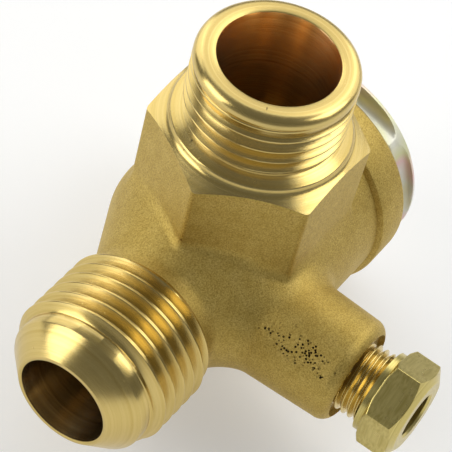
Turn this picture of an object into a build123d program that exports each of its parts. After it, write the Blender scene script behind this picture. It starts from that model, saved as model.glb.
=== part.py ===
"""Brass non-return valve for a compressor's air tank, with an unloader outlet.

Millimetres. The origin is on the tank thread's axis, at the thread's foot. +Z points out of the tank port.
The barrel lies along X: air comes in at the flare on -X, and the plug closes the barrel on +X.
The unloader boss points along -Y.
"""
import os
from math import cos, pi, radians, sin, sqrt, tan

from build123d import *

# Tank port: male pipe thread with the hexagon under it
tank_reach = 24.3  # barrel axis to the foot of the tank thread
tank_thread_r = 10.48  # crest radius of the half-inch pipe thread
tank_thread_depth = 1.16
tank_thread_pitch = 1.814
tank_crest_count = 5
tank_end_plain = 2.384  # last crest to the end face
tank_rim_round = 1.0
tank_rim_band = 0.25  # plain stretch between the rounding and the last thread
tank_bore_r = 7.7
tank_shoulder_r = 10.0  # the shoulder's inner edge, at the thread's foot
tank_shoulder_drop = 0.28
tank_seat_r = 11.6  # the shoulder's outer edge, above the round groove
tank_seat_drop = 0.72
tank_groove_r = 11.78  # middle of the round groove
tank_groove_drop = 1.38
tank_hex_af = 25.0
tank_hex_corner_r = 1.0
tank_hex_drop = 1.72  # foot of the thread to the top of the hexagon's chamfer
tank_hex_chamfer_r = 12.2
tank_first_crest = 0.56
tank_end_r = 9.75  # plain band above the last thread
tank_hex_chamfer_angle = 30.0

# Barrel and its collar
barrel_r = 15.4
collar_r = 16.2
collar_start = 12.8  # tank axis to the collar's near shoulder
collar_end = 18.5  # tank axis to the collar's end face
collar_edge_r = 0.9
neck_start = 5.5  # tank axis to where the barrel starts to narrow towards the flare
neck_land = 1.9  # plain neck between the flare thread and the cone
neck_blend_r = 8.0
neck_fillet_r = 2.0
boss_fillet_r = 2.2  # forging blend where the boss leaves the barrel
hex_fillet_r = 0.6

# Flare port
flare_reach = 36.0  # tank axis to the nose's end face
flare_bore_r = 6.25
nose_land = 0.5  # width of the flat ring round the bore
nose_ring_r = 9.95
nose_ring_width = 1.7
nose_angle = 45.0
flare_thread_r = 11.11
flare_thread_depth = 1.25
flare_thread_pitch = 2.0
flare_crest_count = 6
neck_r = 9.7  # radius of the neck where the flare thread ends

# Unloader boss and stub
boss_offset = 7.2  # tank axis to the boss's axis, towards the flare
boss_reach = 25.7  # barrel axis to the boss's end
boss_end_r = 7.36
boss_draft = 2.1
boss_edge_r = 1.8
boss_root_clear = 1.0  # kept between the blend and the boss's end when its edges are picked
stub_end_plain = 0.74  # last crest to the stub's end
stub_r = 5.0  # crest radius of the M10 x 1 thread
stub_thread_depth = 0.61
stub_pitch = 1.0
stub_crest_count = 5
stub_first_crest = 0.46
stub_end_bevel = 0.2
stub_undercut_r = 6.2
stub_undercut_depth = 0.8
tube_r = 3.0  # the 6 mm unloader tube
tube_clearance = 0.08
tube_socket_clearance = 0.25
tube_socket_depth = 9.0
olive_mouth_r = 3.9  # coned mouth that the olive sits in
olive_mouth_depth = 3.8
unloader_drill_r = 1.5

# Valve chamber
seat_x = 2.8  # tank axis to the seat, towards the flare
seat_lip_height = 2.0
seat_lip_r = 7.4
seat_lip_base_r = 8.2
chamber_r = 10.4
plug_bore_r = 12.0
plug_bore_start = 8.7
seal_recess_r = 13.6
seal_recess_depth = 1.0
seal_thickness = 1.3
seal_play = 0.3
tank_bore_stop = 9.3  # barrel axis to the bottom of the tank bore
fit_clearance = 0.05

# End plug
plug_hex_af = 27.0
plug_hex_turn = 15.0
plug_hex_thickness = 2.7
plug_corner_r = 15.35  # the hexagon's corners are blunt
plug_rim_r = 15.45  # round rim outside the hexagon
plug_rim_width = 0.45
plug_end_circle_r = 13.3  # where the chamfer meets the outer face
plug_chamfer_angle = 30.0
plug_relief_r = 10.8
plug_relief_width = 1.4
plug_lead_in = 0.6
plug_start = 9.5  # tank axis to the plug's inner end
spring_pocket_r = 6.1
spring_pocket_end = 14.0
drill_point_angle = 118.0

# Poppet, disc and spring
lift = 4.0
disc_r = 7.65
disc_thickness = 2.2
disc_recess = 1.2
cup_r = 8.4
cup_floor = 1.8
stem_r = 2.9
stem_end = 17.2
guide_overrun = 0.1  # room left behind the stem when the valve is fully open
spring_stop_r = 4.2
spring_stop_height = 1.0
wire_r = 0.45
spring_r = 5.2
spring_coil_count = 5

# Compression nut and olive
nut_af = 12.0
nut_overlap = 2.0  # how far the nut reaches back over the stub, just started on its thread
nut_length = 5.9
nut_collar = 0.9
nut_collar_r = 5.7
nut_rear_circle_r = 6.2  # where the rear chamfer starts
nut_wall = 1.5
nut_hole_countersink = 0.3
nut_end_circle_r = 5.1
nut_turn = 5.0
nut_chamfer_angle = 30.0
olive_r = 3.75
olive_sunk = 1.3  # how far the olive's rear end sits inside the stub
olive_length = 3.3
olive_rear_r = 3.5
olive_rear_cone = 0.9
olive_land = 1.1
olive_front_r = 3.25


def ridges(first, pitch, crests, crest_r, depth):
    """Axial place and radius of a run of thread ridges, with a narrow flat on each crest."""
    land = pitch * 0.09
    flank = pitch * 0.37
    points = []
    for i in range(crests):
        middle = first + i * pitch
        points += [
            (middle - land - flank, crest_r - depth),
            (middle - land, crest_r),
            (middle + land, crest_r),
            (middle + land + flank, crest_r - depth),
        ]
    return points


barrel_axis_z = -tank_reach
boss_axis_x = -boss_offset
barrel_line = Axis((0, 0, barrel_axis_z), (1, 0, 0))
boss_line = Axis((boss_axis_x, 0, barrel_axis_z), (0, -1, 0))

# A sketch plane that holds the barrel's axis: its x runs along +X and its y is the radius
barrel_plane = Plane(origin=(0, 0, barrel_axis_z), x_dir=(1, 0, 0), z_dir=(0, -1, 0))
# The same for the boss: its x runs out along -Y and its y is the radius
boss_plane = Plane(origin=(boss_axis_x, 0, barrel_axis_z), x_dir=(0, -1, 0), z_dir=(-1, 0, 0))

# Places and radii that several pieces share
hex_corner = tank_hex_af / 2 / cos(radians(30))
nose_x = -flare_reach
nose_cone_end = nose_x + (nose_ring_r - flare_bore_r - nose_land) / tan(radians(nose_angle))
nose_ring_end = nose_cone_end + nose_ring_width
neck_x = nose_ring_end + flare_thread_pitch * flare_crest_count
flare_root_r = flare_thread_r - flare_thread_depth
tank_root_r = tank_thread_r - tank_thread_depth
stub_root_r = stub_r - stub_thread_depth
stub_end = boss_reach + stub_first_crest + stub_pitch * (stub_crest_count - 1) + stub_end_plain
tank_port_height = tank_first_crest + tank_thread_pitch * (tank_crest_count - 1) + tank_end_plain
boss_root_r = boss_end_r + boss_reach * tan(radians(boss_draft))
tube_hole_r = tube_r + tube_clearance
tube_socket_r = tube_r + tube_socket_clearance
cup_front = -seat_x + disc_thickness - disc_recess
cup_back = cup_front + disc_recess + cup_floor
shank_r = plug_bore_r - fit_clearance
seal_start = collar_end - seal_recess_depth
plug_head_start = seal_start + seal_thickness
plug_rim_start = plug_head_start + plug_hex_thickness
plug_rim_end = plug_rim_start + plug_rim_width
plug_end = plug_rim_end + (plug_rim_r - plug_end_circle_r) * tan(radians(plug_chamfer_angle))
guide_r = stem_r + fit_clearance
guide_end = stem_end + lift + guide_overrun
nut_rear = stub_end - nut_overlap
nut_end = nut_rear + nut_length
nut_hex_start = nut_rear + nut_collar
nut_corner = nut_af / 2 / cos(radians(30))
olive_rear = stub_end - olive_sunk
olive_front = olive_rear + olive_length
olive_land_start = olive_rear + olive_rear_cone
far = 40.0  # beyond the part on every side, for cutting tools
near = 1.0  # a little beyond a face, so that a cut goes right through it

# Body: the forging first, with its blends, then what is turned and bored
with BuildPart() as body:
    # Barrel, and the neck that narrows to the flare port
    with BuildSketch(barrel_plane):
        with BuildLine():
            Polyline(
                (neck_x, 0),
                (neck_x, neck_r),
                (neck_x + neck_land, neck_r),
                (-neck_start, barrel_r),
                (collar_end, barrel_r),
                (collar_end, 0),
                close=True,
            )
        make_face()
        fillet(vertices().sort_by(Axis.Y)[-2:].sort_by(Axis.X)[0], neck_blend_r)
        fillet(vertices().group_by(Axis.Y)[1].sort_by(Axis.X)[-1], neck_fillet_r)
    revolve(axis=barrel_line)
    # Unloader boss, blended into the barrel and the neck
    with BuildSketch(boss_plane):
        with BuildLine():
            Polyline((0, 0), (0, boss_root_r), (boss_reach, boss_end_r), (boss_reach, 0), close=True)
        make_face()
    revolve(axis=boss_line)
    boss_root = edges(Select.LAST).filter_by(lambda e: boss_root_clear - boss_reach < e.center().Y < -boss_end_r)
    fillet(boss_root.filter_by(lambda e: e.geom_type != GeomType.LINE), boss_fillet_r)
    fillet(edges().filter_by(GeomType.CIRCLE).sort_by(Axis.Y)[0], boss_edge_r)
    # Hexagon under the tank thread, blended into the barrel
    with BuildSketch(Plane.XY.offset(barrel_axis_z)):
        RegularPolygon(hex_corner, 6)
        fillet(vertices(), tank_hex_corner_r)
    extrude(amount=tank_reach)
    hex_root = edges(Select.LAST).filter_by(lambda e: abs(e.tangent_at(0.5).Z) < 0.999)
    fillet(hex_root.filter_by(lambda e: e.center().Z < -tank_hex_af / 4), hex_fillet_r)
    # Turned collar round the plug's end
    with BuildSketch(barrel_plane):
        with BuildLine():
            Polyline(
                (collar_start, 0),
                (collar_start, collar_r),
                (collar_end, collar_r),
                (collar_end, 0),
                close=True,
            )
        make_face()
        fillet(vertices().group_by(Axis.Y)[-1].sort_by(Axis.X)[-1], collar_edge_r)
    revolve(axis=barrel_line)
    # Turned top of the hexagon, then the tank thread with its plain band and chamfer
    with BuildSketch(Plane.XZ):
        with BuildLine():
            ThreePointArc(
                (tank_hex_chamfer_r, -tank_hex_drop),
                (tank_groove_r, -tank_groove_drop),
                (tank_seat_r, -tank_seat_drop),
            )
            Polyline(
                (tank_seat_r, -tank_seat_drop),
                (tank_shoulder_r, -tank_shoulder_drop),
                (tank_shoulder_r, near),
                (far, near),
                (far, -tank_hex_drop - (far - tank_hex_chamfer_r) * tan(radians(tank_hex_chamfer_angle))),
                (tank_hex_chamfer_r, -tank_hex_drop),
            )
        make_face()
    revolve(axis=Axis.Z, mode=Mode.SUBTRACT)
    with BuildSketch(Plane.XZ):
        with BuildLine():
            Polyline(
                (0, -tank_hex_drop),
                (tank_root_r, -tank_hex_drop),
                *[(r, z) for z, r in ridges(tank_first_crest, tank_thread_pitch, tank_crest_count,
                                            tank_thread_r, tank_thread_depth)],
                (tank_end_r, tank_port_height - tank_rim_round - tank_rim_band),
                (tank_end_r, tank_port_height),
                (0, tank_port_height),
                close=True,
            )
        make_face()
        fillet(vertices().group_by(Axis.Y)[-1].sort_by(Axis.X)[-1], tank_rim_round)
    revolve(axis=Axis.Z)
    # Flare port: nose, ring and thread
    with BuildSketch(barrel_plane):
        with BuildLine():
            Polyline(
                (nose_x, 0),
                (nose_x, flare_bore_r + nose_land),
                (nose_cone_end, nose_ring_r),
                (nose_ring_end, nose_ring_r),
                (nose_ring_end, flare_root_r),
                *ridges(nose_ring_end + flare_thread_pitch / 2, flare_thread_pitch, flare_crest_count,
                        flare_thread_r, flare_thread_depth),
                (neck_x, flare_root_r),
                (neck_x, 0),
                close=True,
            )
        make_face()
    revolve(axis=barrel_line)
    # Unloader stub: a hollow ring milled into the boss's end, and the stub's thread
    with BuildSketch(boss_plane):
        with BuildLine():
            Polyline(
                (boss_reach - stub_undercut_depth, 0),
                (boss_reach - stub_undercut_depth, stub_undercut_r),
                (boss_reach + near, stub_undercut_r),
                (boss_reach + near, 0),
                close=True,
            )
        make_face()
    revolve(axis=boss_line, mode=Mode.SUBTRACT)
    with BuildSketch(boss_plane):
        with BuildLine():
            Polyline(
                (boss_reach - stub_undercut_depth - near, 0),
                (boss_reach - stub_undercut_depth - near, stub_root_r),
                *ridges(boss_reach + stub_first_crest, stub_pitch, stub_crest_count, stub_r, stub_thread_depth),
                (stub_end, stub_root_r - stub_end_bevel),
                (stub_end, 0),
                close=True,
            )
        make_face()
    revolve(axis=boss_line)
    # Bores along the barrel: the flare bore up to the seat, the chamber round the seat's lip,
    # the plug's bore and the recess for its seal
    with BuildSketch(barrel_plane):
        with BuildLine():
            Polyline(
                (-far, 0),
                (-far, flare_bore_r),
                (-seat_x, flare_bore_r),
                (-seat_x, seat_lip_r),
                (-seat_x - seat_lip_height, seat_lip_base_r),
                (-seat_x - seat_lip_height, chamber_r),
                (plug_bore_start, chamber_r),
                (plug_bore_start, plug_bore_r),
                (seal_start, plug_bore_r),
                (seal_start, seal_recess_r),
                (far, seal_recess_r),
                (far, 0),
                close=True,
            )
        make_face()
    revolve(axis=barrel_line, mode=Mode.SUBTRACT)
    # Tank bore, down into the chamber
    with BuildSketch(Plane.XY.offset(barrel_axis_z + tank_bore_stop)):
        Circle(tank_bore_r)
    extrude(amount=far, mode=Mode.SUBTRACT)
    # Unloader drilling, the tube's socket and the mouth for the olive
    with BuildSketch(boss_plane):
        with BuildLine():
            Polyline(
                (0, 0),
                (0, unloader_drill_r),
                (stub_end - tube_socket_depth, unloader_drill_r),
                (stub_end - tube_socket_depth, tube_socket_r),
                (stub_end - olive_mouth_depth, tube_socket_r),
                (stub_end, olive_mouth_r),
                (stub_end + near, olive_mouth_r),
                (stub_end + near, 0),
                close=True,
            )
        make_face()
    revolve(axis=boss_line, mode=Mode.SUBTRACT)

# End plug: hexagon head trimmed from a round one, shank, spring pocket and the stem's guide
plug_plane = Plane(origin=(plug_head_start, 0, barrel_axis_z), x_dir=(0, 1, 0), z_dir=(1, 0, 0))
with BuildPart() as end_plug:
    with BuildSketch(plug_plane):
        RegularPolygon(plug_hex_af / 2 / cos(radians(30)), 6, rotation=plug_hex_turn)
        Circle(plug_corner_r, mode=Mode.INTERSECT)
    extrude(amount=plug_hex_thickness)
    with BuildSketch(barrel_plane):
        with BuildLine():
            Polyline(
                (plug_start, 0),
                (plug_start, shank_r - plug_lead_in),
                (plug_start + plug_lead_in, shank_r),
                (seal_start - plug_relief_width, shank_r),
                (seal_start - plug_relief_width, plug_relief_r),
                (seal_start, plug_relief_r),
                (seal_start, shank_r),
                (plug_rim_start, shank_r),
                (plug_rim_start, plug_rim_r),
                (plug_rim_end, plug_rim_r),
                (plug_end, plug_end_circle_r),
                (plug_end, 0),
                close=True,
            )
        make_face()
    revolve(axis=barrel_line)
    with BuildSketch(barrel_plane):
        with BuildLine():
            Polyline(
                (0, 0),
                (0, spring_pocket_r),
                (spring_pocket_end, spring_pocket_r),
                (spring_pocket_end, guide_r),
                (guide_end, guide_r),
                (guide_end + guide_r / tan(radians(drill_point_angle / 2)), 0),
                close=True,
            )
        make_face()
    revolve(axis=barrel_line, mode=Mode.SUBTRACT)

# Flat seal under the plug's head
with BuildPart() as plug_seal:
    with BuildSketch(Plane.YZ.offset(seal_start)):
        with Locations((0, barrel_axis_z)):
            Circle(seal_recess_r - seal_play)
            Circle(shank_r + seal_play, mode=Mode.SUBTRACT)
    extrude(amount=seal_thickness)

# Poppet: cup for the disc, spring stop and guide stem
with BuildPart() as poppet:
    with BuildSketch(barrel_plane):
        with BuildLine():
            Polyline(
                (cup_front + disc_recess, 0),
                (cup_front + disc_recess, disc_r + fit_clearance),
                (cup_front, disc_r + fit_clearance),
                (cup_front, cup_r),
                (cup_back, cup_r),
                (cup_back, spring_stop_r),
                (cup_back + spring_stop_height, spring_stop_r),
                (cup_back + spring_stop_height, stem_r),
                (stem_end, stem_r),
                (stem_end, 0),
                close=True,
            )
        make_face()
    revolve(axis=barrel_line)

# Rubber disc that shuts against the seat's lip
with BuildPart() as seat_disc:
    with BuildSketch(Plane.YZ.offset(-seat_x)):
        with Locations((0, barrel_axis_z)):
            Circle(disc_r)
    extrude(amount=disc_thickness)

# Spring between the cup and the bottom of the plug's pocket
spring_length = spring_pocket_end - cup_back - 2 * wire_r
spring_start = (cup_back + wire_r, 0, barrel_axis_z)
with BuildPart() as valve_spring:
    with BuildLine() as coil:
        Helix(spring_length / spring_coil_count, spring_length, spring_r, center=spring_start, direction=(1, 0, 0))
    with BuildSketch(Plane(origin=coil.line @ 0, z_dir=coil.line % 0)):
        Circle(wire_r)
    sweep()

# Compression nut: round collar, hexagon, thread bore and the hole for the tube
nut_plane = Plane(origin=(boss_axis_x, -nut_hex_start, barrel_axis_z), x_dir=(1, 0, 0), z_dir=(0, -1, 0))
nut_bore_r = stub_r + fit_clearance
nut_chamfer_rise = tan(radians(nut_chamfer_angle))
nut_cone_end = nut_end - nut_wall
with BuildPart() as compression_nut:
    with BuildSketch(nut_plane):
        RegularPolygon(nut_corner, 6, rotation=90 + nut_turn)
    extrude(amount=nut_end - nut_hex_start)
    with BuildSketch(boss_plane):
        with BuildLine():
            Polyline(
                (nut_end, nut_end_circle_r),
                (nut_end - (far - nut_end_circle_r) * nut_chamfer_rise, far),
                (nut_end, far),
                close=True,
            )
            Polyline(
                (nut_hex_start, nut_rear_circle_r),
                (nut_hex_start + (nut_corner - nut_rear_circle_r) * nut_chamfer_rise, nut_corner),
                (nut_hex_start, nut_corner),
                close=True,
            )
        make_face()
    revolve(axis=boss_line, mode=Mode.SUBTRACT)
    with BuildSketch(boss_plane):
        with BuildLine():
            Polyline(
                (nut_rear, 0),
                (nut_rear, nut_collar_r),
                (nut_hex_start, nut_collar_r),
                (nut_hex_start, 0),
                close=True,
            )
        make_face()
    revolve(axis=boss_line)
    with BuildSketch(boss_plane):
        with BuildLine():
            Polyline(
                (0, 0),
                (0, nut_bore_r),
                (nut_cone_end - (nut_bore_r - tube_hole_r) / 2, nut_bore_r),
                (nut_cone_end, tube_hole_r),
                (nut_end - nut_hole_countersink, tube_hole_r),
                (nut_end, tube_hole_r + nut_hole_countersink),
                (nut_end + near, tube_hole_r + nut_hole_countersink),
                (nut_end + near, 0),
                close=True,
            )
        make_face()
    revolve(axis=boss_line, mode=Mode.SUBTRACT)

# Olive that grips the tube
with BuildPart() as olive:
    with BuildSketch(boss_plane):
        with BuildLine():
            Polyline(
                (olive_rear, tube_hole_r),
                (olive_rear, olive_rear_r),
                (olive_land_start, olive_r),
                (olive_land_start + olive_land, olive_r),
                (olive_front, olive_front_r),
                (olive_front, tube_hole_r),
                close=True,
            )
        make_face()
    revolve(axis=boss_line)

body.part.label = "body"
end_plug.part.label = "end_plug"
plug_seal.part.label = "plug_seal"
valve_spring.part.label = "valve_spring"
poppet.part.label = "poppet"
seat_disc.part.label = "seat_disc"
compression_nut.part.label = "compression_nut"
olive.part.label = "olive"

os.makedirs("parts", exist_ok=True)
export_step(body.part, "parts/body.step")
export_step(end_plug.part, "parts/end_plug.step")
export_step(plug_seal.part, "parts/plug_seal.step")
export_step(valve_spring.part, "parts/valve_spring.step")
export_step(poppet.part, "parts/poppet.step")
export_step(seat_disc.part, "parts/seat_disc.step")
export_step(compression_nut.part, "parts/compression_nut.step")
export_step(olive.part, "parts/olive.step")
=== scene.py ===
# %% [markdown]
# # A forged brass non-return valve
# The CAD model is the frame: it says where every piece is, in metres. This lesson gives the valve its looks.
# The forging gets soft blends, the threads become real helices, and each metal gets the finish that it has
# on the real valve: blasted, turned or plated. Shapes are worked out in millimetres, and turned into metres
# when a mesh is made.

# %% Load the frame
import math

import bpy
import numpy as np
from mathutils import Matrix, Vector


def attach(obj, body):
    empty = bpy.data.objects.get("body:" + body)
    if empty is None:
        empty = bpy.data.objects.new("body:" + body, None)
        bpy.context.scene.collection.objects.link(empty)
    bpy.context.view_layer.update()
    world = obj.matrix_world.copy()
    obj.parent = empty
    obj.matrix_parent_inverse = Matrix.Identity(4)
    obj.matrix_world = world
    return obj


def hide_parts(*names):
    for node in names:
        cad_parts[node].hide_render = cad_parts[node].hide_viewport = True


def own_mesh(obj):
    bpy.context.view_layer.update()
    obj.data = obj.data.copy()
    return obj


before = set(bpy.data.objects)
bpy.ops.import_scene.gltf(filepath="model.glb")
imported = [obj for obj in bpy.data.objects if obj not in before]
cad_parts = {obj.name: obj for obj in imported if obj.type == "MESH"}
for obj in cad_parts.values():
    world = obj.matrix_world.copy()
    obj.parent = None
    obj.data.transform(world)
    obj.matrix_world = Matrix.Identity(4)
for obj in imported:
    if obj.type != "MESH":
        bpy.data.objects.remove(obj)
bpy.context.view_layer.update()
MM = 0.001
AXIS_Z = -24.3  # height of the barrel's axis
BOSS_X = -7.2  # place of the unloader boss's axis along the barrel
TAN_30, COS_30 = 0.57735, 0.866

# %% [markdown]
# A distance field is a function that is negative inside a shape and positive outside. Two fields join with
# a round fillet when the join is measured on both at once, which is how a forging's blends run round every
# crossing without a seam. The edges could also be rounded one by one, but that is hard where several of
# them meet in a narrow place.

# %% Ways to join and cut fields
def fillet_join(a, b, r):
    """Both shapes, with a fillet of radius r along their crossing."""
    return np.maximum(r, np.minimum(a, b)) - np.hypot(np.maximum(r - a, 0), np.maximum(r - b, 0))


def rounded_cut(a, b, r):
    """Only what lies in both shapes, with the edge between them rounded by r."""
    return np.minimum(-r, np.maximum(a, b)) + np.hypot(np.maximum(r + a, 0), np.maximum(r + b, 0))


def soft_max(a, b, k):
    """Only what lies in both shapes, with the edge eased over a width of k."""
    return np.maximum(a, b) + np.maximum(k - abs(a - b), 0) ** 2 / (4 * k)


def hexagon(u, v, half, corner):
    """half: half the width across the flats. corner: the rounding of the corners."""
    inner = half - corner
    half_side = 0.5773503 * inner
    u, v = abs(u), abs(v)
    lift = 2 * np.minimum(-0.8660254 * u + 0.5 * v, 0)
    u, v = u + lift * 0.8660254, v - lift * 0.5
    u, v = u - np.clip(u, -half_side, half_side), v - inner
    return np.hypot(u, v) * np.sign(v) - corner


# %% [markdown]
# The forging is a barrel that swells from the flare's neck, a boss for the unloader and a hexagon under the
# tank thread. The boss narrows outwards by two degrees, so that it can leave its die. What is bored out of
# the forging afterwards has sharp edges, so those fields are cut off without a fillet. Where a face slants,
# its field is multiplied by the cosine of the slant, so that it stays a distance.

# %% The forging's field, in millimetres
BARREL_R, BARREL_START, BARREL_END = 15.4, -18.9, 18.3
NECK_R, NECK_START, NECK_SLOPE, NECK_COS = 9.7, -5.5, 0.487, 0.899
BOSS_R, BOSS_END, BOSS_EDGE, BOSS_SLOPE, BOSS_COS = 8.303, 25.7, 1.8, 0.0367, 0.9993
HEX_HALF, HEX_CORNER, HEX_CHAMFER_R, HEX_CHAMFER_Z, HEX_TOP = 12.5, 1.0, 12.2, 1.72, 2.2
BOSS_BLEND, HEX_BLEND = 2.4, 0.9
INLET_R, SEAT_X, LIP_R = 6.27, -2.8, 7.4
CHAMBER_R, CHAMBER_X = 10.4, -4.8
PLUG_BORE_R, PLUG_BORE_X = 12.0, 8.7
OUTLET_R, OUTLET_FLOOR = 7.72, 9.3
DRILLING_R, TUBE_R, TUBE_DEPTH, MOUTH_R, MOUTH_DEPTH = 1.5, 3.27, 21.9, 6.2, 24.9


def forging_field(x, y, z):
    h = z - AXIS_Z
    rho, around_boss, around_tank = np.hypot(y, h), np.hypot(x - BOSS_X, h), np.hypot(x, y)
    cone = (rho - BARREL_R + NECK_SLOPE * (NECK_START - x)) * NECK_COS
    outer = soft_max(rho - BARREL_R, cone, 0.85)
    barrel = np.maximum(-soft_max(-outer, NECK_R - rho, 0.3), x - BARREL_END)
    boss = (around_boss - BOSS_R - BOSS_SLOPE * y) * BOSS_COS
    boss = rounded_cut(boss, -y - BOSS_END, BOSS_EDGE)
    solid = fillet_join(barrel, np.maximum(boss, y - 2), BOSS_BLEND)
    prism = np.maximum(hexagon(x, y, HEX_HALF, HEX_CORNER), AXIS_Z - z)
    solid = fillet_join(solid, prism, HEX_BLEND)
    chamfer = (z + HEX_CHAMFER_Z + (around_tank - HEX_CHAMFER_R) * TAN_30) * COS_30
    solid = np.maximum(np.maximum(solid, chamfer), BARREL_START - x)
    solid = np.maximum(solid, np.minimum(z + HEX_TOP, 12.0 - around_tank))
    lip = LIP_R + np.clip((SEAT_X - x) * 0.4, 0, 0.8)
    around_lip = np.where(x < SEAT_X, lip - rho, -9)
    cuts = [
        np.maximum(rho - INLET_R, x - SEAT_X),
        np.maximum(np.maximum(rho - CHAMBER_R, CHAMBER_X - x), around_lip),
        np.maximum(rho - PLUG_BORE_R, PLUG_BORE_X - x),
        np.maximum(around_tank - OUTLET_R, AXIS_Z + OUTLET_FLOOR - z),
        np.maximum(around_boss - DRILLING_R, y),
        np.maximum(around_boss - TUBE_R, y + TUBE_DEPTH),
        np.maximum(around_boss - MOUTH_R, y + MOUTH_DEPTH),
    ]
    for cut in cuts:
        solid = np.maximum(solid, -cut)
    return solid


# %% [markdown]
# Turning a field into a mesh takes one vertex for each grid cell that the surface passes through. The vertex
# goes where the surface's tangent planes meet, so a sharp edge stays sharp between cells. Where the planes
# are nearly the same one, a weak pull towards the middle of the crossings holds the vertex.

# %% Mesh a field
HALVINGS = 7  # these find each crossing to a hundredth of a cell
SLOPE_STEP = 0.004  # mm
PULL = 0.02
REACH = 0.9  # how far a vertex may go from the middle, in cells


def crossing_points(f, values, axes, step, d, counts):
    first, second = [slice(None)] * 3, [slice(None)] * 3
    first[d], second[d] = slice(0, -1), slice(1, None)
    inside = values < 0
    found = np.argwhere(inside[tuple(first)] != inside[tuple(second)])
    e1, e2 = [k for k in range(3) if k != d]
    keep = (found[:, e1] > 0) & (found[:, e1] < counts[e1] - 1)
    keep &= (found[:, e2] > 0) & (found[:, e2] < counts[e2] - 1)
    found = found[keep]
    beyond = found.copy()
    beyond[:, d] += 1
    va, vb = values[tuple(found.T)], values[tuple(beyond.T)]
    points = np.stack([axes[k][found[:, k]] for k in range(3)], 1)
    base, near, far, t = points[:, d].copy(), np.zeros(len(va)), np.ones(len(va)), va / (va - vb)
    for _ in range(HALVINGS):
        points[:, d] = base + t * step
        same = (f(*points.T) < 0) == (va < 0)
        near, far = np.where(same, t, near), np.where(same, far, t)
        t = 0.5 * (near + far)
    points[:, d] = base + t * step
    slopes = np.stack([f(*(points + e).T) - f(*(points - e).T) for e in np.eye(3) * SLOPE_STEP], 1)
    slopes /= np.linalg.norm(slopes, axis=1, keepdims=True) + 1e-12
    cells = []
    for s1, s2 in ((-1, -1), (0, -1), (0, 0), (-1, 0)):
        cell = found.copy()
        cell[:, e1] += s1
        cell[:, e2] += s2
        cells.append((cell[:, 0] * (counts[1] - 1) + cell[:, 1]) * (counts[2] - 1) + cell[:, 2])
    quads = np.stack(cells, 1)
    outward = (va < 0) if d != 1 else (va >= 0)
    return points, slopes, np.where(outward[:, None], quads, quads[:, ::-1])


def mesh_field(name, f, box_low, box_high, step):
    counts = [int(math.ceil((b - a) / step)) + 1 for a, b in zip(box_low, box_high)]
    axes = [a + step * np.arange(n) for a, n in zip(box_low, counts)]
    values = f(*np.meshgrid(*axes, indexing="ij", sparse=True))
    parts = [crossing_points(f, values, axes, step, d, counts) for d in range(3)]
    cell = np.concatenate([q.T.ravel() for _, _, q in parts])
    points = np.concatenate([np.tile(p, (4, 1)) for p, _, _ in parts])
    slopes = np.concatenate([np.tile(s, (4, 1)) for _, s, _ in parts])
    used, place = np.unique(cell, return_inverse=True)
    m = len(used)
    mean = np.stack([np.bincount(place, points[:, k], m) for k in range(3)], 1)
    mean = mean / np.bincount(place)[:, None]
    offset = np.einsum("ij,ij->i", slopes, points - mean[place])
    left = np.stack([[np.bincount(place, slopes[:, a] * slopes[:, b], m) for a in range(3)]
                     for b in range(3)])
    right = np.stack([np.bincount(place, slopes[:, a] * offset, m) for a in range(3)], 1)
    left = left.transpose(2, 0, 1) + np.eye(3) * PULL
    shift = np.linalg.solve(left, right[:, :, None])[:, :, 0]
    shift = np.clip(shift, -REACH * step, REACH * step)
    quads = np.concatenate([q for _, _, q in parts])
    return new_mesh(name, mean + shift, np.searchsorted(used, quads))


# %% [markdown]
# Every mesh is made by one function. It shades the faces smoothly and keeps an edge crisp where two of them
# meet at more than a given angle.

# %% Make an object from points in millimetres
def new_mesh(name, points, faces, sharp=34):
    """sharp: the angle between faces, in degrees, from which an edge stays crisp."""
    mesh = bpy.data.meshes.new(name)
    mesh.from_pydata((np.asarray(points) * MM).tolist(), [], np.asarray(faces).tolist())
    mesh.validate()
    mesh.polygons.foreach_set("use_smooth", [True] * len(mesh.polygons))
    mesh.set_sharp_from_angle(angle=math.radians(sharp))
    obj = bpy.data.objects.new(name, mesh)
    bpy.context.scene.collection.objects.link(obj)
    print(name, "faces", len(mesh.polygons), "points", len(mesh.vertices))
    return obj


# %% [markdown]
# The forging is one piece of brass, but a cutter has been over parts of it. So a piece can be painted: the
# faces that pass a test get another material.

# %% Give some faces of a piece another material
def paint(piece, material, chosen):
    """chosen: a test on the face centres (in mm) and normals."""
    mesh = piece.data
    data = np.empty((2, len(mesh.polygons), 3), np.float32)
    mesh.polygons.foreach_get("center", data[0].ravel())
    mesh.polygons.foreach_get("normal", data[1].ravel())
    picked = chosen(data[0] / MM, data[1])
    slots = np.zeros(len(mesh.polygons), np.int32)
    mesh.polygons.foreach_get("material_index", slots)
    mesh.materials.append(material)
    slots[picked] = len(mesh.materials) - 1
    mesh.polygons.foreach_set("material_index", slots)
    print(piece.name, "faces in", material.name, int(picked.sum()))


# %% Build the forging
forging = mesh_field("forging", forging_field, (-19.2, -26.4, -40.6), (18.9, 16.2, -0.9), step=0.3)

# %% [markdown]
# A turned piece is a profile swept round its axis. A thread is the same profile, only that it climbs by one
# pitch a turn, so each point of the profile draws a helix. Where the helix runs out, it is held at the end's
# place, and between two limits that open from a single radius to the root and the crest. So the thread
# closes on the plain part beside it.

# %% Turned surfaces and threads
THREAD = [  # place in pitches and height from root to crest
    (-0.5, 0.0), (-0.45, 0.01), (-0.38, 0.14), (-0.25, 0.47), (-0.12, 0.83), (-0.07, 0.965), (-0.03, 1.0),
    (0.03, 1.0), (0.07, 0.965), (0.12, 0.83), (0.25, 0.47), (0.38, 0.14), (0.45, 0.01),
]
WELD_DISTANCE = 0.002  # mm


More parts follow.
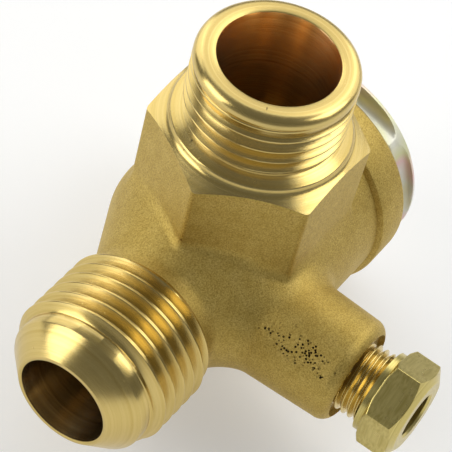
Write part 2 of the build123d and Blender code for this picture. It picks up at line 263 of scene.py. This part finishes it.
def turned_points(stations, lead, steps, limit):
    turn = np.linspace(0, 2 * math.pi, steps + 1)
    along = np.stack([s + lead * turn / (2 * math.pi) for s, _ in stations])
    radius = np.stack([np.full(steps + 1, r) for _, r in stations])
    if limit:
        radius = limit(along, radius, turn[None, :])
    return along, radius, np.broadcast_to(turn, along.shape)


def thread_stations(start, end, pitch, root, crest):
    first = math.floor((start - pitch) / pitch) - 1
    rows = []
    for k in range(int((end - start) / pitch) + 5):
        middle = (first + k) * pitch
        rows += [(middle + f * pitch, root + (crest - root) * h) for f, h in THREAD]
    return rows


def grid_faces(rows, columns, base):
    i, j = np.meshgrid(np.arange(rows - 1), np.arange(columns - 1), indexing="ij")
    a = base + i * columns + j
    return np.stack([a, a + 1, a + columns + 1, a + columns], -1).reshape(-1, 4)


def turned_piece(name, runs, origin, along, across, steps=288):
    """runs: lists of (place along the axis, radius), or a dict for a thread."""
    third = np.cross(along, across)
    points, faces, base = [], [], 0
    for run in runs:
        if isinstance(run, dict):
            stations = thread_stations(run["start"], run["end"], run["pitch"], run["root"], run["crest"])
            a, r, t = turned_points(stations, run["pitch"], steps, run["limit"])
            a = np.clip(a, run["start"], run["end"])
        else:
            a, r, t = turned_points(run, 0, steps, None)
        where = np.asarray(origin) + a[..., None] * np.asarray(along)
        where = where + (r * np.cos(t))[..., None] * np.asarray(across) + (r * np.sin(t))[..., None] * third
        points.append(where.reshape(-1, 3))
        faces.append(grid_faces(a.shape[0], a.shape[1], base))
        base += a.size
    obj = new_mesh(name, np.concatenate(points), np.concatenate(faces), sharp=28)
    weld = obj.modifiers.new("weld", "WELD")
    weld.merge_threshold = WELD_DISTANCE * MM
    return obj


def thread(start, end, pitch, root, crest, begin_r, finish_r, begin_w, finish_w):
    """A thread that starts at begin_r, is full after begin_w, and ends at finish_r over finish_w."""
    def limit(a, r, turn):
        s = np.clip(a, start, end)
        rise = np.clip((s - start) / begin_w, 0, 1)
        fall = np.clip((end - s) / finish_w, 0, 1)
        highest = np.minimum(begin_r + (crest - begin_r) * rise, finish_r + (crest - finish_r) * fall)
        lowest = np.maximum(begin_r + (root - begin_r) * rise, finish_r + (root - finish_r) * fall)
        return np.clip(r, lowest, highest)
    return {"start": start, "end": end, "pitch": pitch, "root": root, "crest": crest, "limit": limit}


# %% [markdown]
# The tank port's rim is widely rounded, and its first grooves are shallow. The flare port ends in a nose of
# 45 degrees, which a flared pipe seals on.

# %% Tank port, flare port, stub and collar
tank_port = turned_piece(
    "tank_port",
    [[(-12.0, 7.7), (9.95, 7.7), (10.15, 7.8), (10.2, 7.9)],
     [(10.2, 7.9), (10.2, 9.2)],
     [(10.2, 9.2), (10.15, 9.6), (9.98, 9.98), (9.7, 10.28), (9.3, 10.45), (8.9, 10.5)],
     thread(start=0.15, end=8.9, pitch=1.814, root=9.32, crest=10.52,
            begin_r=9.9, finish_r=10.5, begin_w=0.7, finish_w=5.0),
     [(0.15, 9.9), (-0.1, 9.95), (-0.28, 10.2)],
     [(-0.28, 10.2), (-0.68, 11.5), (-0.76, 11.63)],
     [(-0.76, 11.63), (-1.05, 11.68), (-1.3, 11.76), (-1.52, 11.92), (-1.66, 12.1), (-1.71, 12.2),
      (-1.84, 12.42), (-1.93, 12.46)]],
    (0, 0, 0), (0, 0, 1), (1, 0, 0))
flare_port = turned_piece(
    "flare_port",
    [[(-9.2, 6.25), (-35.8, 6.25), (-35.95, 6.32), (-36.0, 6.42)],
     [(-36.0, 6.42), (-36.0, 6.75)],
     [(-36.0, 6.75), (-35.93, 6.9), (-33.0, 9.82), (-32.8, 9.95)],
     [(-32.8, 9.95), (-31.3, 9.98)],
     thread(start=-31.3, end=-19.0, pitch=2.0, root=9.86, crest=11.11,
            begin_r=9.98, finish_r=9.75, begin_w=0.8, finish_w=1.2),
     [(-19.0, 9.75), (-18.2, 9.5), (-17.6, 9.0)]],
    (0, 0, AXIS_Z), (1, 0, 0), (0, 0, 1))
stub = turned_piece(
    "stub",
    [[(21.9, 1.6), (21.9, 3.25), (27.1, 3.25), (30.9, 3.9)],
     [(30.9, 3.9), (30.9, 4.2), (30.5, 4.6)],
     thread(start=25.0, end=30.5, pitch=1.0, root=4.39, crest=5.0,
            begin_r=4.5, finish_r=4.6, begin_w=0.5, finish_w=0.6),
     [(25.0, 4.5), (24.9, 4.7), (24.9, 6.25)]],
    (BOSS_X, 0, AXIS_Z), (0, -1, 0), (1, 0, 0), steps=160)
collar = turned_piece(
    "collar",
    [[(12.2, 14.6), (12.45, 15.6), (12.8, 16.1), (13.0, 16.2)],
     [(13.0, 16.2), (17.6, 16.2), (17.9, 16.15), (18.2, 15.95), (18.42, 15.65), (18.5, 15.3)],
     [(18.5, 15.3), (18.5, 13.6)],
     [(18.5, 13.6), (17.5, 13.6)],
     [(17.5, 13.6), (17.5, 12.0)],
     [(17.5, 12.0), (16.0, 12.0)]],
    (0, 0, AXIS_Z), (1, 0, 0), (0, 0, 1))

# %% [markdown]
# The plug and the nut are hexagons with a chamfer turned on the end and slightly rounded corners. The plug's
# head isn't quite flat, so waves of up to two hundredths of a millimetre are added to its field. Behind the
# head the plug has its shank, a pocket for the spring and a drilled guide. They can't be seen, but the
# poppet's stem slides in that guide and would run into a head without it.

# %% Plug and nut
PLUG_HALF, CORNER_R, RIM_R, RIM_X, CHAMFER_X, PLUG_END = 13.5, 15.35, 15.45, 21.5, 21.95, 23.19
SHANK_R, SHANK_X = 11.92, 9.5
POCKET_R, POCKET_X = 6.1, 14.0
GUIDE_R, DRILL_X, GUIDE_END = 2.95, 21.3, 22.4
NUT_HALF, NUT_END, NUT_BACK = 6.0, 34.8, 29.8
NUT_BORE_R, NUT_HOLE_R, NUT_CONE = 5.05, 3.08, 32.315


def rotated(u, v, degrees):
    a = math.radians(degrees)
    return u * math.cos(a) + v * math.sin(a), v * math.cos(a) - u * math.sin(a)


def waviness(x, y, z, size, seed):
    """The mean of nine seeded plane waves. A larger size makes them shorter."""
    rng = np.random.default_rng(seed)
    total = 0
    for _ in range(9):
        way = rng.normal(size=3)
        way *= size * rng.uniform(0.6, 1.8) / np.linalg.norm(way)
        total = total + np.sin(x * way[0] + y * way[1] + z * way[2] + rng.uniform(0, 6.28))
    return total / 9


def plug_field(x, y, z):
    h = z - AXIS_Z
    rho = np.hypot(y, h)
    u, v = rotated(y, h, 15 - 60)
    prism = np.maximum(hexagon(u, v, PLUG_HALF, 0.25), rho - CORNER_R)
    prism = rounded_cut(prism, 18.8 - x, 0.3)
    cone = (x - CHAMFER_X + (rho - RIM_R) * TAN_30) * COS_30
    rim = rounded_cut(rho - RIM_R, np.maximum(RIM_X - x, cone), 0.12)
    head = np.maximum(fillet_join(np.maximum(prism, x - 22), rim, 1.5), rho - RIM_R)
    head = rounded_cut(np.maximum(head, cone), x - PLUG_END, 0.2)
    head = head + 0.014 * waviness(x, y, z, 1.6, 3) + 0.006 * waviness(x, y, z, 5, 4)
    shank = np.maximum(rho - SHANK_R, np.maximum(SHANK_X - x, x - RIM_X))
    lead_in = (SHANK_X - x + rho - 11.32) * 0.7071
    shank = np.maximum(shank, lead_in)
    relief = np.maximum(10.8 - rho, np.maximum(16.1 - x, x - 17.5))
    solid = np.minimum(head, np.maximum(shank, -relief))
    spring_pocket = np.maximum(rho - POCKET_R, x - POCKET_X)
    drill_point = (rho - GUIDE_R + (x - DRILL_X) * 1.664) * 0.515
    guide = np.maximum(np.maximum(rho - GUIDE_R, drill_point), x - GUIDE_END)
    return np.maximum(solid, -np.minimum(spring_pocket, guide))


def nut_field(x, y, z):
    h, u = z - AXIS_Z, x - BOSS_X
    rho = np.hypot(u, h)
    u, v = rotated(u, h, 5)
    prism = hexagon(v, u, NUT_HALF, 0.15)
    cone = (-y - NUT_END + (rho - 5.1) * TAN_30) * COS_30
    back = np.maximum((y + NUT_BACK + (rho - 6.2) * TAN_30) * COS_30, y + NUT_BACK)
    head = rounded_cut(np.maximum(prism, np.maximum(cone, -y - NUT_END)), back, 0.1)
    solid = np.minimum(head, np.maximum(rho - 5.7, np.maximum(y + 28.9, -y - 31)))
    hole = NUT_HOLE_R + np.clip(-y - 34.5, 0, 1)
    narrowing = np.clip(NUT_BORE_R - (-y - NUT_CONE) * 2.0, NUT_HOLE_R, NUT_BORE_R)
    bore = np.where(-y < NUT_CONE, rho - NUT_BORE_R, rho - narrowing)
    return np.maximum(solid, -np.minimum(bore * 0.45, rho - hole))


plug = mesh_field("plug", plug_field, (9.2, -16.3, -40.6), (24.3, 16.3, -8.0), step=0.26)
nut = mesh_field("nut", nut_field, (-14.4, -35.2, -31.5), (0.0, -28.5, -17.1), step=0.13)

# %% [markdown]
# The spring is a wire wound round the poppet's stem. Most of its last turn at each end lies flat, as a ground
# spring's does. It is 12.8 mm long at rest, and it is made at rest. On the real valve it loses 4 mm when the
# valve opens, as it squashes towards the plug.

# %% Spring
PER_TURN = 48


def spring_points(turns, start, end, radius, flat):
    """flat: how much of a turn lies flat at each end."""
    out = []
    for i in range(int(turns * PER_TURN) + 1):
        t = i / PER_TURN
        share = min(max((t - flat) / (turns - 2 * flat), 0), 1)
        angle = 2 * math.pi * t
        along = start + (end - start) * share
        out.append((along, radius * math.cos(angle), radius * math.sin(angle)))
    return np.array(out)


def wire(name, centre, r, sides=14):
    tangent = np.gradient(centre, axis=0)
    tangent /= np.linalg.norm(tangent, axis=1, keepdims=True)
    side = np.cross(tangent, (1, 0, 0))
    side /= np.linalg.norm(side, axis=1, keepdims=True)
    up = np.cross(side, tangent)
    t = np.linspace(0, 2 * math.pi, sides + 1)
    around = np.cos(t)[None, :, None] * side[:, None] + np.sin(t)[None, :, None] * up[:, None]
    ring = centre[:, None] + r * around
    return new_mesh(name, ring.reshape(-1, 3), grid_faces(len(centre), sides + 1, 0))


coil = spring_points(turns=7, start=1.65, end=13.55, radius=5.2, flat=0.8) + np.array([0, 0, AXIS_Z])
spring = wire("spring", coil, r=0.45)

# %% [markdown]
# Every piece rides on a body of the frame. The five brass pieces of the housing together stand for the body,
# which is a single solid in the CAD model, and each other piece stands for the node that it details.

# %% Hand the pieces to the frame
for piece in (forging, tank_port, flare_port, stub, collar):
    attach(piece, "housing")
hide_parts("body")
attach(plug, "housing")
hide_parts("end_plug")
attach(nut, "nut")
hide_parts("compression_nut")
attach(spring, "housing")
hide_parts("valve_spring")
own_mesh(spring)

# %% [markdown]
# Colours are written as they look on a screen and turned into linear light once. One small function adds a
# node to a material, sets what it is given and links what it is handed. The others are short names for the
# nodes that come up most.

# %% Colour and node helpers
def linear(code):
    parts = [int(code[i:i + 2], 16) / 255 for i in (1, 3, 5)]
    return [c / 12.92 if c <= 0.04045 else ((c + 0.055) / 1.055) ** 2.4 for c in parts] + [1.0]


def add(tree, kind, settings=None, **inputs):
    """An input goes by its name, with _ for a space, or by its number, as i0, i1 and so on."""
    node = tree.nodes.new(kind)
    for key, value in (settings or {}).items():
        setattr(node, key, value)
    for key, value in inputs.items():
        numbered = key[0] == "i" and key[1:].isdigit()
        socket = node.inputs[int(key[1:])] if numbered else node.inputs[key.replace("_", " ")]
        if isinstance(value, bpy.types.NodeSocket):
            tree.links.new(value, socket)
        else:
            socket.default_value = value
    return node


def ramp(tree, value, stops):
    node = add(tree, "ShaderNodeValToRGB", Fac=value)
    bar = node.color_ramp
    while len(bar.elements) < len(stops):
        bar.elements.new(0.5)
    for element, (place, colour) in zip(bar.elements, stops):
        element.position = place
        element.color = colour if not isinstance(colour, float) else (colour, colour, colour, 1)
    return node.outputs["Color"]


def new_material(name):
    material = bpy.data.materials.new(name)
    material.use_nodes = True
    tree = material.node_tree
    tree.nodes.clear()
    shader = add(tree, "ShaderNodeBsdfPrincipled")
    add(tree, "ShaderNodeOutputMaterial", Surface=shader.outputs["BSDF"])
    place = add(tree, "ShaderNodeTexCoord").outputs["Object"]
    return material, tree, shader, place


def noise(tree, place, scale, detail, rough, **more):
    node = add(tree, "ShaderNodeTexNoise", Vector=place, Scale=scale, Detail=detail, Roughness=rough, **more)
    return node.outputs["Fac"]


def vector(tree, operation, a, b=None):
    """A sum with vectors. Its result is a vector too, or a number where it measures something."""
    given = {"i0": a} if b is None else {"i0": a, "i1": b}
    node = add(tree, "ShaderNodeVectorMath", {"operation": operation}, **given)
    measured = operation in ("DOT_PRODUCT", "DISTANCE", "LENGTH")
    return node.outputs["Value" if measured else "Vector"]


def number(tree, operation, *values):
    """A sum with plain numbers."""
    given = {f"i{k}": value for k, value in enumerate(values)}
    return add(tree, "ShaderNodeMath", {"operation": operation}, **given).outputs[0]


def spread(tree, value, low, high):
    """Stretches a value that runs from 0 to 1, so that it runs from low to high."""
    return add(tree, "ShaderNodeMapRange", Value=value, To_Min=low, To_Max=high).outputs[0]


def fade(tree, value, near, far):
    """1 up to near, 0 from far on."""
    node = add(tree, "ShaderNodeMapRange", Value=value, From_Min=near, From_Max=far, To_Min=1.0, To_Max=0.0)
    return node.outputs[0]


def mixed(tree, share, first, second, blend="MIX"):
    settings = {"data_type": "RGBA", "blend_type": blend}
    return add(tree, "ShaderNodeMix", settings, Factor=share, i6=first, i7=second).outputs[2]


def dress(tree, shader, colour, rough, height, strength, depth, metallic=1.0):
    """Hands a finish to the shader. height, strength and depth, in metres, make its relief."""
    bump = add(tree, "ShaderNodeBump", Height=height, Strength=strength, Distance=depth)
    tree.links.new(colour, shader.inputs["Base Color"])
    tree.links.new(rough, shader.inputs["Roughness"])
    tree.links.new(bump.outputs[0], shader.inputs["Normal"])
    shader.inputs["Metallic"].default_value = metallic


# %% [markdown]
# The body is forging brass, pressed hot in a die and then blasted with grit. Blasting leaves a grain of
# about a fifth of a millimetre that sparkles, so the bump is fine and strong and the colour hardly changes
# over the piece. On the unloader boss there is a patch of dark pores. They are the middles of small cells,
# and the patch is a fading distance from one place, broken up by noise. It is longer along the boss than
# across it, because y is narrowed before the distance is taken.

# %% Blasted forging
PATCH_NARROWING = (1.0, 0.36, 1.0)
PATCH_CENTRE = (-0.0128, -0.0068, -0.0192)  # in metres, with y narrowed


def blasted_brass():
    material, tree, shader, place = new_material("blasted_brass")
    grain = noise(tree, place, scale=5000.0, detail=3.0, rough=0.75)
    wave = noise(tree, place, scale=420.0, detail=3.0, rough=0.55)
    tone = ramp(tree, wave, [
        (0.30, linear("#CEB566")), (0.55, linear("#D4BC6E")), (0.75, linear("#DAC276")),
    ])
    glint = ramp(tree, grain, [
        (0.30, linear("#B4AA94")), (0.50, linear("#E8E2D2")), (0.66, linear("#FFFFFF")),
    ])
    tone = mixed(tree, 1.0, tone, glint, blend="MULTIPLY")
    cell = add(tree, "ShaderNodeTexVoronoi", Vector=place, Scale=2300.0).outputs["Distance"]
    pore = ramp(tree, cell, [(0.28, 1.0), (0.42, 0.0)])
    narrowed = vector(tree, "MULTIPLY", place, PATCH_NARROWING)
    patch = fade(tree, vector(tree, "DISTANCE", narrowed, PATCH_CENTRE), near=0.0006, far=0.0034)
    cloud = noise(tree, place, scale=700.0, detail=3.0, rough=0.6)
    gate = ramp(tree, number(tree, "MULTIPLY_ADD", patch, 0.5, cloud), [(0.80, 0.0), (0.90, 1.0)])
    pitted = number(tree, "MULTIPLY", pore, gate)
    colour = mixed(tree, pitted, tone, linear("#241A0C"))
    rough = spread(tree, grain, low=0.44, high=0.66)
    relief = number(tree, "SUBTRACT", number(tree, "MULTIPLY_ADD", wave, 0.6, grain), pitted)
    dress(tree, shader, colour, rough, relief, strength=0.9, depth=0.00006)
    return material


# %% [markdown]
# Turned brass shines and keeps the cutter's rings, a few tenths of a millimetre apart. The rings follow the
# distance from the axis and the place along it, so they run round cones and faces alike. Fine rings also
# smear a reflection across themselves, which the bump alone doesn't show. So the ports and the bores get a
# grain direction round their axis as well, and that draws the light into streaks along a bore. The tank port
# has three small marks too, drawn as dark lines.

# %% Turned brass
STREAKS = 0.7  # from 0, for none, to 1
QUARTER_TURN = 0.25


def dark_line(tree, place, start, end, width):
    """A mark from start to end, in mm: 1 on the line and 0 beyond its width."""
    start, end = Vector(start) * MM, Vector(end) * MM
    way, length = (end - start).normalized(), (end - start).length
    offset = vector(tree, "SUBTRACT", place, start)
    reach = vector(tree, "DOT_PRODUCT", offset, way)
    reach = add(tree, "ShaderNodeClamp", Value=reach, Min=0.0, Max=length).outputs[0]
    nearest = add(tree, "ShaderNodeVectorMath", {"operation": "SCALE"}, i0=way, Scale=reach).outputs[0]
    away = vector(tree, "DISTANCE", offset, nearest)
    return fade(tree, away, near=0.4 * width * MM, far=width * MM)


def turned_brass(name, centre, axis, pale="#D4BC78", deep="#CAB068", rough=0.25, ring=2600.0, depth=0.6,
                 round_axis="", marks=()):
    """ring: rings to the metre. depth: how strong they are. round_axis: X, Y or Z, for streaks."""
    material, tree, shader, place = new_material(name)
    shifted = vector(tree, "SUBTRACT", place, centre)
    along = vector(tree, "DOT_PRODUCT", shifted, axis)
    radius = vector(tree, "LENGTH", vector(tree, "CROSS_PRODUCT", shifted, axis))
    rings = add(tree, "ShaderNodeCombineXYZ", X=along, Y=radius).outputs[0]
    rings = noise(tree, rings, scale=ring, detail=3.0, rough=0.6)
    cloud = noise(tree, place, scale=900.0, detail=4.0, rough=0.6)
    tone = ramp(tree, rings, [(0.35, linear(deep)), (0.6, linear(pale))])
    for start, end, width in marks:
        tone = mixed(tree, dark_line(tree, place, start, end, width), tone, linear("#3A2C10"))
    smear = spread(tree, cloud, low=rough * 0.85, high=rough * 1.2)
    dress(tree, shader, tone, smear, rings, strength=depth, depth=0.00002)
    if round_axis:
        tangent = add(tree, "ShaderNodeTangent", {"direction_type": "RADIAL", "axis": round_axis})
        tree.links.new(tangent.outputs[0], shader.inputs["Tangent"])
        shader.inputs["Anisotropic"].default_value = STREAKS
        shader.inputs["Anisotropic Rotation"].default_value = QUARTER_TURN
    return material


# %% [markdown]
# The plug looks like steel with a thin zinc plate and a yellow passivation. Such a film is so thin that it
# colours light by interference: pink in one place, yellow-green in another and silver between them.

# %% Plated steel, spring wire and rubber
def plated_steel():
    material, tree, shader, place = new_material("plated_steel")
    film = noise(tree, place, scale=95.0, detail=2.0, rough=0.5, Distortion=0.2)
    tone = ramp(tree, film, [
        (0.30, linear("#E8E6DA")), (0.42, linear("#E4E4B8")), (0.50, linear("#EDCFCC")),
        (0.60, linear("#E6E8DE")), (0.72, linear("#E0DCAE")),
    ])
    scratch = noise(tree, place, scale=2400.0, detail=5.0, rough=0.7)
    rough = spread(tree, scratch, low=0.4, high=0.62)
    dress(tree, shader, tone, rough, scratch, strength=0.4, depth=0.00004, metallic=0.65)
    return material


def plain_finish(name, pale, deep, metallic, low_rough, high_rough, scale, depth):
    material, tree, shader, place = new_material(name)
    grain = noise(tree, place, scale=scale, detail=4.0, rough=0.6)
    tone = ramp(tree, grain, [(0.35, linear(deep)), (0.65, linear(pale))])
    rough = spread(tree, grain, low=low_rough, high=high_rough)
    dress(tree, shader, tone, rough, grain, strength=0.4, depth=depth, metallic=metallic)
    return material


def rubber(name, pale, deep):
    return plain_finish(name, pale, deep, metallic=0.0, low_rough=0.5, high_rough=0.7,
                        scale=1200.0, depth=0.00002)


# %% [markdown]
# The forging and the collar are blasted. A cutter has been over the top of the hexagon, the end of the collar
# and the bores, so those faces are painted. The bores have copies of the brass with painted light and shade:
# a darker, browner copy is painted shade in the barrel and the flare port, and a paler, warmer copy is
# painted light in the tank port.

# %% Give each piece its material
barrel_centre = (0, 0, AXIS_Z * MM)
boss_centre = (BOSS_X * MM, 0, AXIS_Z * MM)
turned_x = turned_brass("turned_brass_x", barrel_centre, (1, 0, 0), round_axis="X")
PORT_MARKS = [  # start, end and width in mm: the first three lines are one mark
    ((-9.57, 4.07, -0.4), (-10.5, 4.1, -0.9), 0.16),
    ((-10.5, 4.1, -0.9), (-11.32, 4.31, -1.3), 0.12),
    ((-10.4, 4.1, -0.85), (-10.7, 3.2, -0.95), 0.1),
    ((-7.76, -3.52, 10.2), (-8.3, -3.8, 10.1), 0.09),
    ((-7.70, -6.44, -0.3), (-8.55, -7.31, -1.5), 0.11),
]
turned_z = turned_brass("turned_brass_z", (0, 0, 0), (0, 0, 1), round_axis="Z", marks=PORT_MARKS)
# Painted shade: the bores of the barrel and the flare port get a darker, browner copy of the turned brass.
bored_x_painted_shade = turned_brass("bored_brass_x_painted_shade", barrel_centre, (1, 0, 0), "#A8946C", "#8A744C",
                       rough=0.24, ring=3400.0, depth=0.8, round_axis="X")
# Painted light: the tank port's bore gets a paler, warmer copy of the turned brass.
bored_z_painted_light = turned_brass("bored_brass_z_painted_light", (0, 0, 0), (0, 0, 1), "#E6C896", "#D0A86C",
                       rough=0.24, ring=3400.0, depth=0.8, round_axis="Z")
blasted = blasted_brass()
finishes = {
    forging: blasted,
    collar: blasted,
    tank_port: turned_z,
    flare_port: turned_x,
    stub: turned_brass("turned_brass_y", boss_centre, (0, 1, 0), "#DCC684", "#C8AE66", rough=0.24),
    nut: turned_brass("nut_brass", boss_centre, (0, 1, 0), "#CEBD76", "#B8A65E", rough=0.28),
    plug: plated_steel(),
    spring: plain_finish("spring_wire", "#9A9A9C", "#6E6E72", metallic=1.0, low_rough=0.25, high_rough=0.4,
                         scale=1500.0, depth=0.00001),
    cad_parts["poppet"]: turned_brass("poppet_brass", barrel_centre, (1, 0, 0), "#D9B860", "#A67F2E",
                                           rough=0.2),
    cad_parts["olive"]: turned_brass("olive_brass", boss_centre, (0, 1, 0), "#D9B860", "#A67F2E",
                                          rough=0.2),
    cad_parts["seat_disc"]: rubber("disc_rubber", "#1C1C1C", "#101010"),
    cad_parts["plug_seal"]: rubber("seal_rubber", "#1A1A1A", "#0E0E0E"),
}
for piece, material in finishes.items():
    piece.data.materials.clear()
    piece.data.materials.append(material)


def from_barrel_axis(c):
    return np.hypot(c[:, 1], c[:, 2] - AXIS_Z)


def faces_barrel_axis(c, n):
    return n[:, 1] * c[:, 1] + n[:, 2] * (c[:, 2] - AXIS_Z) < 0


paint(forging, turned_z, lambda c, n: (n[:, 2] > 0.8) & (c[:, 2] > -3.4))
paint(collar, turned_x, lambda c, n: c[:, 0] > 18.0)
paint(forging, bored_x_painted_shade, lambda c, n: (from_barrel_axis(c) < 12.3) & faces_barrel_axis(c, n))
paint(tank_port, bored_z_painted_light, lambda c, n: np.hypot(c[:, 0], c[:, 1]) < 7.75)
paint(flare_port, bored_x_painted_shade, lambda c, n: from_barrel_axis(c) < 6.3)
print("materials:", len(set(m.name for m in finishes.values())))

# %% [markdown]
# The light is that of a product table: a pale floor, large soft boxes for the brass to reflect, and darker
# gaps between them, because metal only looks like metal when it has something dark to mirror as well. The
# floor glows faintly, so that it stays pale and still takes a soft shadow.

# %% Floor, light and camera
FLOOR_Z = -0.0408  # in metres, just under the valve
corners = [(x, y, FLOOR_Z) for x, y in ((-3, -3), (3, -3), (3, 3), (-3, 3))]
floor_mesh = bpy.data.meshes.new("floor")
floor_mesh.from_pydata(corners, [], [(0, 1, 2, 3)])
floor = bpy.data.objects.new("floor", floor_mesh)
bpy.context.scene.collection.objects.link(floor)
floor_material, _, floor_shader, _ = new_material("pale_floor")
floor_shader.inputs["Base Color"].default_value = linear("#DADAD8")
floor_shader.inputs["Emission Color"].default_value = linear("#FFFFFF")
floor_shader.inputs["Emission Strength"].default_value = 0.32
floor_shader.inputs["Roughness"].default_value = 0.9
floor_mesh.materials.append(floor_material)

bpy.context.scene.view_settings.view_transform = "Standard"
world = bpy.data.worlds.new("studio")
bpy.context.scene.world = world
world.use_nodes = True
background = world.node_tree.nodes["Background"]
background.inputs["Color"].default_value = (0.95, 0.97, 1.0, 1)
background.inputs["Strength"].default_value = 0.2


def soft_box(name, azimuth, height, away, size, radiance):
    """A panel that faces the valve, with its angles in degrees and its lengths in metres.

    Its radiance is 1 when it would just look white in the picture.
    """
    data = bpy.data.lights.new(name, "AREA")
    data.shape = "RECTANGLE"
    data.size, data.size_y = size
    data.energy = radiance * math.pi * size[0] * size[1]
    light = bpy.data.objects.new(name, data)
    bpy.context.scene.collection.objects.link(light)
    turn, lift = math.radians(azimuth), math.radians(height)
    way = Vector((math.cos(turn) * math.cos(lift), math.sin(turn) * math.cos(lift), math.sin(lift)))
    light.location = Vector((0, 0, -0.02)) + way * away
    light.rotation_euler = way.to_track_quat("Z", "Y").to_euler()


soft_box("left", azimuth=136, height=24, away=0.5, size=(0.30, 0.42), radiance=3.0)
soft_box("right", azimuth=304, height=46, away=0.5, size=(0.28, 0.28), radiance=2.8)
soft_box("back", azimuth=25, height=46, away=0.6, size=(0.55, 0.45), radiance=1.15)
soft_box("back_right", azimuth=345, height=36, away=0.6, size=(0.45, 0.60), radiance=1.2)
soft_box("back_left", azimuth=68, height=26, away=0.6, size=(0.40, 0.50), radiance=1.4)

camera = bpy.data.objects.new("camera", bpy.data.cameras.new("camera"))
bpy.context.scene.collection.objects.link(camera)
bpy.context.scene.camera = camera
camera_turn = Matrix((
    (0.5707431, 0.5649808, -0.5958599),
    (-0.8017112, 0.5402915, -0.2556253),
    (0.1775147, 0.6236039, 0.7613190),
))
camera_place = (-0.1756919, -0.0746416, 0.2015266)
camera.matrix_world = Matrix.Translation(camera_place) @ camera_turn.to_4x4()
camera.data.sensor_width = 36
camera.data.lens = 177.7
camera.data.clip_start, camera.data.clip_end = 0.01, 10
